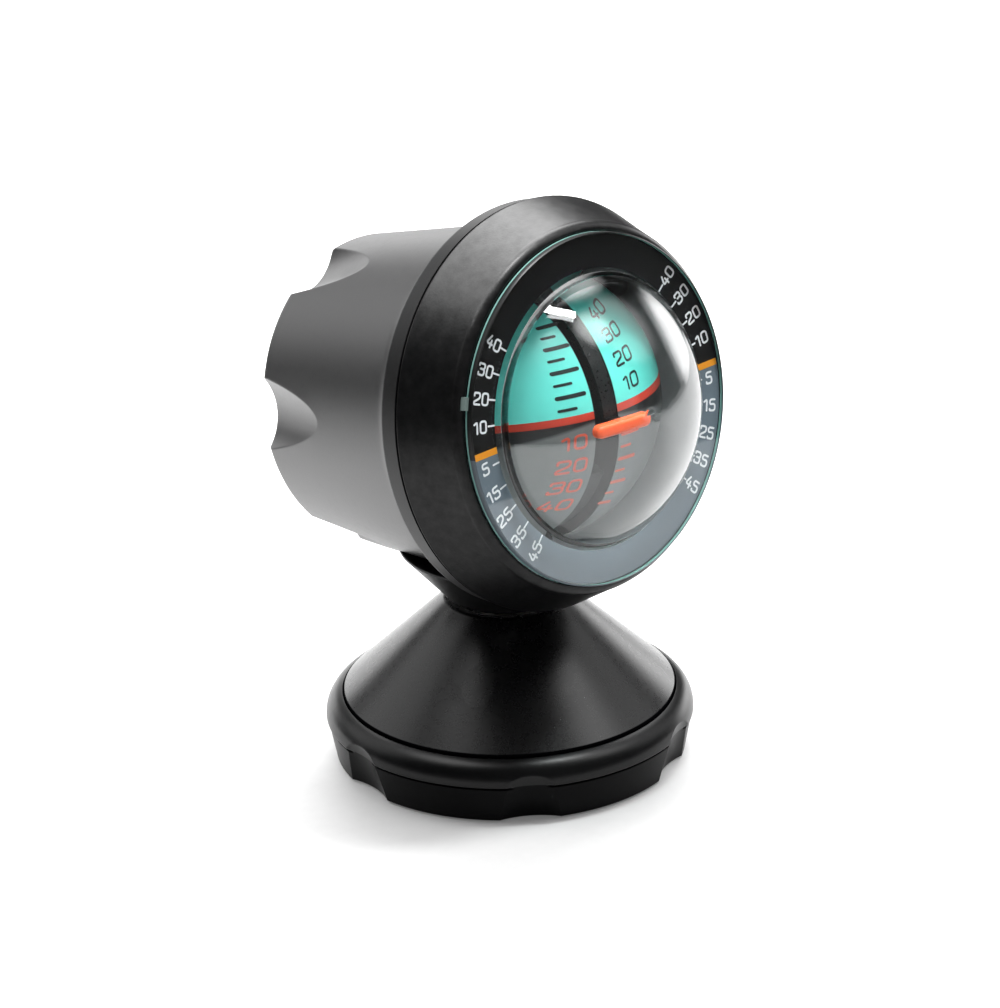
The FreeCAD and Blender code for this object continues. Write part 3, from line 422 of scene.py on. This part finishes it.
def makeLiquid(facts):
    domeRadius = facts["domeRadius"] + facts["overlap"]
    bowlRadius = facts["bowlRadius"] + facts["overlap"]
    profile = []
    steps = facts["steps"]
    # the dome's hollow ends on the back of the rim, where the bowl begins
    last = math.acos((facts["overlap"] - facts["domeCentre"]) / domeRadius)
    for i in range(steps + 1):
        turn = last * i / steps
        profile.append((domeRadius * math.sin(turn), facts["domeCentre"] + domeRadius * math.cos(turn)))
    profile.append((bowlRadius, facts["overlap"]))
    for i in range(steps + 1):
        turn = math.pi / 2 * (1 + i / steps)
        profile.append((bowlRadius * math.sin(turn), facts["bowlCentre"] + bowlRadius * math.cos(turn)))
    build = bmesh.new()
    rings = []
    for radius, height in profile:
        # each end of the profile lies on the axis and is one point
        count = facts["segments"] if radius * mm > 1e-9 else 1
        ring = []
        for k in range(count):
            turn = 2 * math.pi * k / facts["segments"]
            spot = Vector((radius * math.cos(turn), radius * math.sin(turn), height)) * mm
            ring.append(build.verts.new(spot))
        rings.append(ring)
    for a, b in zip(rings, rings[1:]):
        for k in range(facts["segments"]):
            n = (k + 1) % facts["segments"]
            corners = [a[k % len(a)], b[k % len(b)], b[n % len(b)], a[n % len(a)]]
            unique = list(dict.fromkeys(corners))
            if len(unique) > 2:
                build.faces.new(unique)
    bmesh.ops.recalc_face_normals(build, faces=build.faces)
    mesh = bpy.data.meshes.new("dampingLiquid")
    build.to_mesh(mesh)
    build.free()
    mesh.transform(headPlace)
    mesh.shade_smooth()
    liquid = bpy.data.objects.new("dampingLiquid", mesh)
    bpy.context.scene.collection.objects.link(liquid)
    # clear light oil: it enlarges what is in it, as in a magnifier
    mesh.materials.append(clearPlastic("dampingOil", facts["ior"], facts["tint"]))
    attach(liquid, "head")


# the lens's turned edge: frosted, the print's colours showing in it, and a painted glint, a pale teal line
# on its back where it meets the bezel;
# the rounded root of the dome is painted shade: an opaque black glossy band that shows the dark and the
# light around it
edgeFacts = {"radius": 25.2, "tab": 25.5, "back": 0.3, "soft": 0.03, "rough": 0.35, "ior": 1.49,
             "tint": "#FDFFFF", "black": ("#050606",), "blueGrey": ("#4A555D",), "line": ("#84B5AD",),
             "tabColour": ("#6F7F7B",)}
paintedRootShade = {"inner": 18.95, "foot": 19.2, "outer": 19.75, "floor": 1.1, "top": 2.1, "topSoft": 0.15,
             "amount": 0.85, "colour": "#050606", "rough": 0.1, "ior": 1.8}


def domeLens(rim, root):
    # polished polycarbonate inside, a turned and frosted rim outside
    material = clearPlastic("polycarbonatePolished", rim["ior"], rim["tint"])
    tree = material.node_tree
    place = addNode(tree, "ShaderNodeTexCoord").outputs["Object"]
    axes = headPlace.to_3x3().col
    across, up, out = [upDistance(tree, place, headPlace.translation, axis) for axis in axes]
    square = addNode(tree, "ShaderNodeMath", {"operation": "MULTIPLY"}, {0: across, 1: across})
    square = addNode(tree, "ShaderNodeMath", {"operation": "MULTIPLY_ADD"},
                     {0: up, 1: up, 2: square.outputs["Value"]})
    radius = addNode(tree, "ShaderNodeMath", {"operation": "SQRT"}, {0: square.outputs["Value"]})
    radius = radius.outputs["Value"]

    soft = rim["soft"]
    middle = (root["foot"] + root["outer"]) / 2
    edges = {"rim": (radius, rim["radius"], soft), "turn": (radius, middle, middle - root["foot"]),
             "inner": (radius, root["inner"], soft), "outer": (radius, root["outer"], -soft),
             "floor": (out, root["floor"], soft), "top": (out, root["top"], -root["topSoft"])}
    past = {}
    for name, (value, edge, softness) in edges.items():
        node = addNode(tree, "ShaderNodeMapRange", {}, {"Value": value, "From Min": (edge - softness) * mm,
                                                       "From Max": (edge + softness) * mm})
        past[name] = node.outputs["Result"]

    # the frosted rim takes the print's black above and blue-grey below, a painted glint line on its back
    # and a paler tab
    colour = layColours(tree, 0.0, rim["blueGrey"],
                        ((up, 0, soft, rim["black"]), (out, rim["back"], -soft, rim["line"]),
                         (radius, rim["tab"], soft, rim["tabColour"])))
    frost = addNode(tree, "ShaderNodeBsdfPrincipled", {}, {"Base Color": colour, "Roughness": rim["rough"]})

    # the root's normal turns from straight outwards at the wall to straight forwards on the flat rim
    outwards = addNode(tree, "ShaderNodeVectorMath", {"operation": "SUBTRACT"},
                       {0: place, 1: headPlace.translation})
    forwards = addNode(tree, "ShaderNodeVectorMath", {"operation": "SCALE"}, {0: axes[2], "Scale": out})
    outwards = addNode(tree, "ShaderNodeVectorMath", {"operation": "SUBTRACT"},
                       {0: outwards.outputs["Vector"], 1: forwards.outputs["Vector"]})
    outwards = addNode(tree, "ShaderNodeVectorMath", {"operation": "NORMALIZE"},
                       {0: outwards.outputs["Vector"]}).outputs["Vector"]
    normal = addNode(tree, "ShaderNodeMixRGB", {},
                     {"Fac": past["turn"], "Color1": outwards, "Color2": (*axes[2], 1)})
    normal = addNode(tree, "ShaderNodeVectorTransform",
                     {"vector_type": "NORMAL", "convert_from": "OBJECT", "convert_to": "WORLD"},
                     {"Vector": normal.outputs["Color"]})
    # painted shade: an opaque black glossy band laid in the clear root, its normal turned so that it
    # mirrors the light around it
    gloss = addNode(tree, "ShaderNodeBsdfPrincipled", {},
                    {"Base Color": hexLinear(root["colour"]), "Roughness": root["rough"],
                     "IOR": root["ior"], "Normal": normal.outputs["Vector"]})
    amount = root["amount"]
    for name in ("inner", "outer", "floor", "top"):
        amount = addNode(tree, "ShaderNodeMath", {"operation": "MULTIPLY"},
                         {0: amount, 1: past[name]}).outputs["Value"]

    output = next(n for n in tree.nodes if n.type == "OUTPUT_MATERIAL")
    surface = output.inputs["Surface"].links[0].from_socket
    for share, layer in ((past["rim"], frost), (amount, gloss)):
        mix = addNode(tree, "ShaderNodeMixShader", {}, {"Fac": share})
        tree.links.new(surface, mix.inputs[1])
        tree.links.new(layer.outputs["BSDF"], mix.inputs[2])
        surface = mix.outputs["Shader"]
    tree.links.new(surface, output.inputs["Surface"])
    return material


dress(["dome_lens"], domeLens(edgeFacts, paintedRootShade))
makeLiquid(liquidFacts)
print("dome and liquid made")


# each figure's strokes in a unit square; "closed" joins the last point to the first
glyphs = {
    "0": [[(0, 0), (1, 0), (1, 1), (0, 1), "closed"]],
    "1": [[(0.12, 0.80), (0.62, 1.0), (0.62, 0.0)]],
    "2": [[(0.0, 0.76), (0.0, 1.0), (1.0, 1.0), (1.0, 0.56), (0.0, 0.22), (0.0, 0.0), (1.0, 0.0)]],
    "3": [[(0.0, 0.82), (0.0, 1.0), (1.0, 1.0), (1.0, 0.53), (0.3, 0.53)],
          [(0.3, 0.53), (1.0, 0.53), (1.0, 0.0), (0.0, 0.0), (0.0, 0.18)]],
    "4": [[(0.55, 1.0), (0.0, 0.28), (1.05, 0.28)], [(0.78, 0.62), (0.78, 0.0)]],
    "5": [[(0.95, 1.0), (0.05, 1.0), (0.0, 0.56), (1.0, 0.60), (1.0, 0.0), (0.0, 0.0), (0.0, 0.14)]],
}
oneShape = {"width": 0.62, "inset": 0.12}  # the figure 1 is narrower than the rest
strokeShape = {"cornerSteps": 6, "cornerMost": 0.49, "endSteps": 3, "endTip": 0.02}


def roundedPath(points, radius):
    # each corner becomes a short curve
    closed = points[-1] == "closed"
    corners = [Vector(p) for p in points if p != "closed"]
    count = len(corners)
    path = []
    for i, corner in enumerate(corners):
        if not closed and i in (0, count - 1):
            path.append(corner)
            continue
        before = corners[i - 1] - corner
        after = corners[(i + 1) % count] - corner
        cut = min(radius, min(before.length, after.length) * strokeShape["cornerMost"])
        start = corner + before.normalized() * cut
        end = corner + after.normalized() * cut
        for k in range(strokeShape["cornerSteps"] + 1):
            t = k / strokeShape["cornerSteps"]
            path.append(start * (1 - t) ** 2 + corner * 2 * t * (1 - t) + end * t ** 2)
    return path, closed


def addStroke(build, path, closed, halfWidth, place, thickness):
    # a flat ribbon with rounded ends, laid on a surface by place(point, lift)
    rows = []
    count = len(path)
    for i, point in enumerate(path):
        before = path[i - 1] if (closed or i > 0) else point
        after = path[(i + 1) % count] if (closed or i < count - 1) else point
        along = (after - before).normalized()
        rows.append((point, Vector((-along.y, along.x)) * halfWidth))
    if not closed:
        ends = []
        for k in range(1, strokeShape["endSteps"] + 1):
            turn = math.pi / 2 * k / strokeShape["endSteps"]
            ends.append((math.sin(turn), max(math.cos(turn), strokeShape["endTip"])))
        firstAlong = (path[0] - path[1]).normalized()
        lastAlong = (path[-1] - path[-2]).normalized()
        first, last = rows[0][1], rows[-1][1]
        startRows = [(path[0] + firstAlong * halfWidth * out, first * wide) for out, wide in reversed(ends)]
        endRows = [(path[-1] + lastAlong * halfWidth * out, last * wide) for out, wide in ends]
        rows = startRows + rows + endRows
    quads = []
    for point, side in rows:
        left, right = point + side, point - side
        corners = ((left, thickness), (right, thickness), (right, 0), (left, 0))
        quads.append([build.verts.new(place(*corner)) for corner in corners])
    pairs = list(zip(quads, quads[1:]))
    if closed:
        pairs.append((quads[-1], quads[0]))
    for a, b in pairs:
        for k in range(4):
            n = (k + 1) % 4
            build.faces.new((a[k], a[n], b[n], b[k]))
    if not closed:
        build.faces.new(quads[0])
        build.faces.new(list(reversed(quads[-1])))


def addNumber(build, text, middle, facts, place):
    # middle and sizes in mm; place takes a point of the number's own flat frame
    span = facts["width"]
    widths = [span * (oneShape["width"] if c == "1" else 1.0) for c in text]
    total = sum(widths) + facts["gap"] * (len(text) - 1)
    x = -total / 2
    for c, width in zip(text, widths):
        shift = -oneShape["inset"] * span if c == "1" else 0.0
        for stroke in glyphs[c]:
            placed = [p if p == "closed" else (middle[0] + x + shift + p[0] * span,
                                               middle[1] + (p[1] - 0.5) * facts["height"]) for p in stroke]
            path, closed = roundedPath(placed, facts["corner"])
            addStroke(build, path, closed, facts["stroke"] / 2, place, facts["thickness"])
        x += width + facts["gap"]


# pad-printed ink: flat and even, a shade uneven where the pad lifted
inkBody = {"grain": 0.35, "bump": 0.1, "metallic": 0.0}
inks = {"dialWhiteInk": {"dark": "#E4E7EA", "light": "#F2F4F6", "rough": 0.5},
        "dialAmberInk": {"dark": "#E8930F", "light": "#F09C16", "rough": 0.5},
        "ballBlackInk": {"dark": "#0B1413", "light": "#101B1A", "rough": 0.4},
        "ballRustInk": {"dark": "#CF4F38", "light": "#DA5A42", "rough": 0.4}}


def finishMarks(build, name, transform, ink, body):
    bmesh.ops.recalc_face_normals(build, faces=build.faces)
    mesh = bpy.data.meshes.new(name)
    build.to_mesh(mesh)
    build.free()
    mesh.transform(transform)
    marks = bpy.data.objects.new(name, mesh)
    bpy.context.scene.collection.objects.link(marks)
    mesh.materials.append(plainFinish(ink, {**inkBody, **inks[ink]}))
    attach(marks, body)


dialFacts = {"plane": -0.06, "tickInner": 20.4, "tickOuter": 21.5, "tickWidth": 0.26, "numberRadius": 23.05,
             "barInner": 20.3, "barOuter": 24.9, "barWidth": 0.95, "barThickness": 0.036}
dialNumber = {"width": 1.07, "height": 1.62, "gap": 0.5, "stroke": 0.3, "corner": 0.42, "thickness": 0.03}
upperNumbers = (10, 20, 30, 40)
lowerNumbers = (5, 15, 25, 35, 45)


def dialPlace(angle, outward):
    # a flat frame on the dial at an angle; X runs outward or towards the middle
    turn = math.radians(angle)
    radial = Vector((math.cos(turn), math.sin(turn)))
    reading = radial if outward else -radial
    up = Vector((-reading.y, reading.x))
    middle = radial * dialFacts["numberRadius"]

    def place(point, lift):
        spot = middle + reading * point[0] + up * point[1]
        return Vector((spot.x * mm, spot.y * mm, (dialFacts["plane"] + lift) * mm))
    return place


def makeDialMarks():
    figures = bmesh.new()
    bars = bmesh.new()
    reach = dialFacts["numberRadius"]
    for value, side in [(v, 1) for v in upperNumbers] + [(v, -1) for v in lowerNumbers]:
        for outward, angle in ((True, side * value), (False, 180 - side * value)):
            place = dialPlace(angle, outward)
            addNumber(figures, str(value), (0, 0), dialNumber, place)
            sign = 1 if outward else -1
            tick = [Vector(((dialFacts[k] - reach) * sign, 0)) for k in ("tickInner", "tickOuter")]
            addStroke(figures, tick, False, dialFacts["tickWidth"] / 2, place, dialNumber["thickness"])
    for outward, angle in ((True, 0), (False, 180)):
        place = dialPlace(angle, outward)
        sign = 1 if outward else -1
        half = dialFacts["barWidth"] / 2
        near, far = [(dialFacts[k] - reach) * sign for k in ("barInner", "barOuter")]
        corners = [Vector(c) for c in ((near, -half), (far, -half), (far, half), (near, half))]
        top = [bars.verts.new(place(c, dialFacts["barThickness"])) for c in corners]
        low = [bars.verts.new(place(c, 0)) for c in corners]
        bars.faces.new(top)
        bars.faces.new(list(reversed(low)))
        for k in range(4):
            n = (k + 1) % 4
            bars.faces.new((top[k], low[k], low[n], top[n]))
    finishMarks(figures, "dialNumbers", headPlace, "dialWhiteInk", "head")
    finishMarks(bars, "dialZeroBars", headPlace, "dialAmberInk", "head")


printDetail = 2.0  # of the prints' faint unevenness, whose size is each "mottle" in mm
# the dial's satin printed film: black above the zero line, blue-grey below
dialFilm = {"upper": ("#030304", "#060607"), "lower": ("#65717B", "#6D7983"), "soft": 0.02, "mottle": 0.6,
            "rough": 0.5, "specular": 0.2}
# the bowl's two-colour sprayed ABS: black above and pale grey below, with a sprayed edge;
# the liquid spreads both colours wide at the dome's rim
bowlSpray = {"upper": ("#0C0D0E", "#151617"), "lower": ("#D2D5D6", "#DDE0E1"), "soft": 0.6, "mottle": 0.6,
             "rough": 0.5, "specular": 0.5}


def splitPaint(name, facts):
    # one colour above the head's level plane and another below it
    material, tree, shader = newMaterial(name)
    place = addNode(tree, "ShaderNodeTexCoord").outputs["Object"]
    up = upDistance(tree, place, headPlace.translation, headPlace.to_3x3().col[1])
    mottle = addNode(tree, "ShaderNodeTexNoise", {},
                     {"Vector": place, "Scale": perMetre(facts["mottle"]), "Detail": printDetail})
    paint = layColours(tree, mottle.outputs["Fac"], facts["lower"],
                       ((up, 0, facts["soft"], facts["upper"]),))
    tree.links.new(paint, shader.inputs["Base Color"])
    shader.inputs["Roughness"].default_value = facts["rough"]
    shader.inputs["Specular IOR Level"].default_value = facts["specular"]
    return material


dress(["capsule_bowl"], splitPaint("absBowlSprayed", bowlSpray))
dress(["dial_ring"], splitPaint("dialPrintedFilm", dialFilm))
makeDialMarks()
print("dial printed")


ballPrint = {"redLow": -0.25, "redHigh": 0.68, "gap": 1.78, "paintedShadeSlope": 0.16, "paintedShadeEdge": -0.25,
             "paintedShadeSoft": 0.25, "soft": 0.02, "mottle": 1.2, "rough": 0.3, "ground": ("#666868", "#707272"),
             "black": ("#0A0A0B",), "red": ("#BE3420", "#CC3E28"), "sky": ("#61D9CC", "#69DFD2"),
             "gapBlack": ("#060607",)}


def ballPaint(facts):
    # printed ball in gloss ink: teal sky, red horizon, grey ground, a dark gap between the halves; a black
    # band under the red, wider towards the sides, is painted shade
    material, tree, shader = newMaterial("ballPrintedGloss")
    place = addNode(tree, "ShaderNodeTexCoord").outputs["Object"]
    axes = ballPlace.to_3x3().col
    up = upDistance(tree, place, ballPlace.translation, axes[1])
    side = upDistance(tree, place, ballPlace.translation, axes[0])
    away = addNode(tree, "ShaderNodeMath", {"operation": "ABSOLUTE"}, {0: side}).outputs["Value"]
    slope = addNode(tree, "ShaderNodeMath", {"operation": "MULTIPLY_ADD"},
                    {0: away, 1: facts["paintedShadeSlope"], 2: up})
    mottle = addNode(tree, "ShaderNodeTexNoise", {},
                     {"Vector": place, "Scale": perMetre(facts["mottle"]), "Detail": printDetail})
    paint = layColours(tree, mottle.outputs["Fac"], facts["ground"],
                       ((slope.outputs["Value"], facts["paintedShadeEdge"], facts["paintedShadeSoft"], facts["black"]),
                        (up, facts["redLow"], facts["soft"], facts["red"]),
                        (up, facts["redHigh"], facts["soft"], facts["sky"]),
                        (away, facts["gap"], -facts["soft"], facts["gapBlack"])))
    tree.links.new(paint, shader.inputs["Base Color"])
    shader.inputs["Roughness"].default_value = facts["rough"]
    return material


ballMarks = {"perFiveDegrees": 6.28, "outer": 6.1, "longInner": 2.6, "shortInner": 4.0, "longWidth": 0.52,
             "shortWidth": 0.36, "thickness": 0.03, "count": 8, "steps": 6}
ballNumber = {"right": {"width": 1.25, "height": 1.5, "gap": 0.5, "stroke": 0.27, "corner": 0.45,
                        "thickness": 0.03},
              "left": {"width": 1.45, "height": 1.6, "gap": 0.6, "stroke": 0.3, "corner": 0.5,
                       "thickness": 0.03}}
numberHeights = {"right": ((10, 10.4), (20, 22.2), (30, 34.2), (40, 46.0)),
                 "left": ((10, -10.8), (20, -23.2), (30, -35.2), (40, -47.3))}
numberOut = {"right": 5.0, "left": -4.5}
groundMarks = {"inner": 2.4, "longOuter": 5.2, "shortOuter": 4.0, "thinner": 0.8}


def ballSpot(point, lift):
    # a point of the ball's skin from (mm along the axle, mm of arc above the horizon)
    radius = ballFrame["radius"] + lift
    height = point[1] / ballFrame["radius"]
    level = radius * math.cos(height)
    front = math.sqrt(max(level ** 2 - point[0] ** 2, 0))
    return Vector((point[0] * mm, radius * math.sin(height) * mm, front * mm))


def arcOf(degrees):
    return math.radians(degrees) * ballFrame["radius"]


def levelTick(build, inner, outer, degrees, width):
    # the marks draw together towards the ball's top, as lines of longitude do
    steps = ballMarks["steps"]
    squeeze = math.cos(math.radians(degrees))
    outs = [(inner + (outer - inner) * i / steps) * squeeze for i in range(steps + 1)]
    path = [Vector((out, arcOf(degrees))) for out in outs]
    addStroke(build, path, False, width / 2, ballSpot, ballMarks["thickness"])


def makeBallMarks():
    black = bmesh.new()
    rust = bmesh.new()
    for k in range(1, ballMarks["count"] + 1):
        long = k % 2 == 0
        width = ballMarks["longWidth"] if long else ballMarks["shortWidth"]
        inner = ballMarks["longInner"] if long else ballMarks["shortInner"]
        angle = ballMarks["perFiveDegrees"] * k
        levelTick(black, -inner, -ballMarks["outer"], angle, width)
        outer = groundMarks["longOuter"] if long else groundMarks["shortOuter"]
        levelTick(rust, groundMarks["inner"], outer, -angle, width * groundMarks["thinner"])
    for value, height in numberHeights["right"]:
        addNumber(black, str(value), (numberOut["right"], arcOf(height)), ballNumber["right"], ballSpot)
    for value, height in numberHeights["left"]:
        addNumber(rust, str(value), (numberOut["left"], arcOf(height)), ballNumber["left"], ballSpot)
    finishMarks(black, "ballSkyMarks", ballPlace, "ballBlackInk", "globe")
    finishMarks(rust, "ballGroundMarks", ballPlace, "ballRustInk", "globe")


dress(["left_globe", "right_globe"], ballPaint(ballPrint))
makeBallMarks()
print("ball printed")
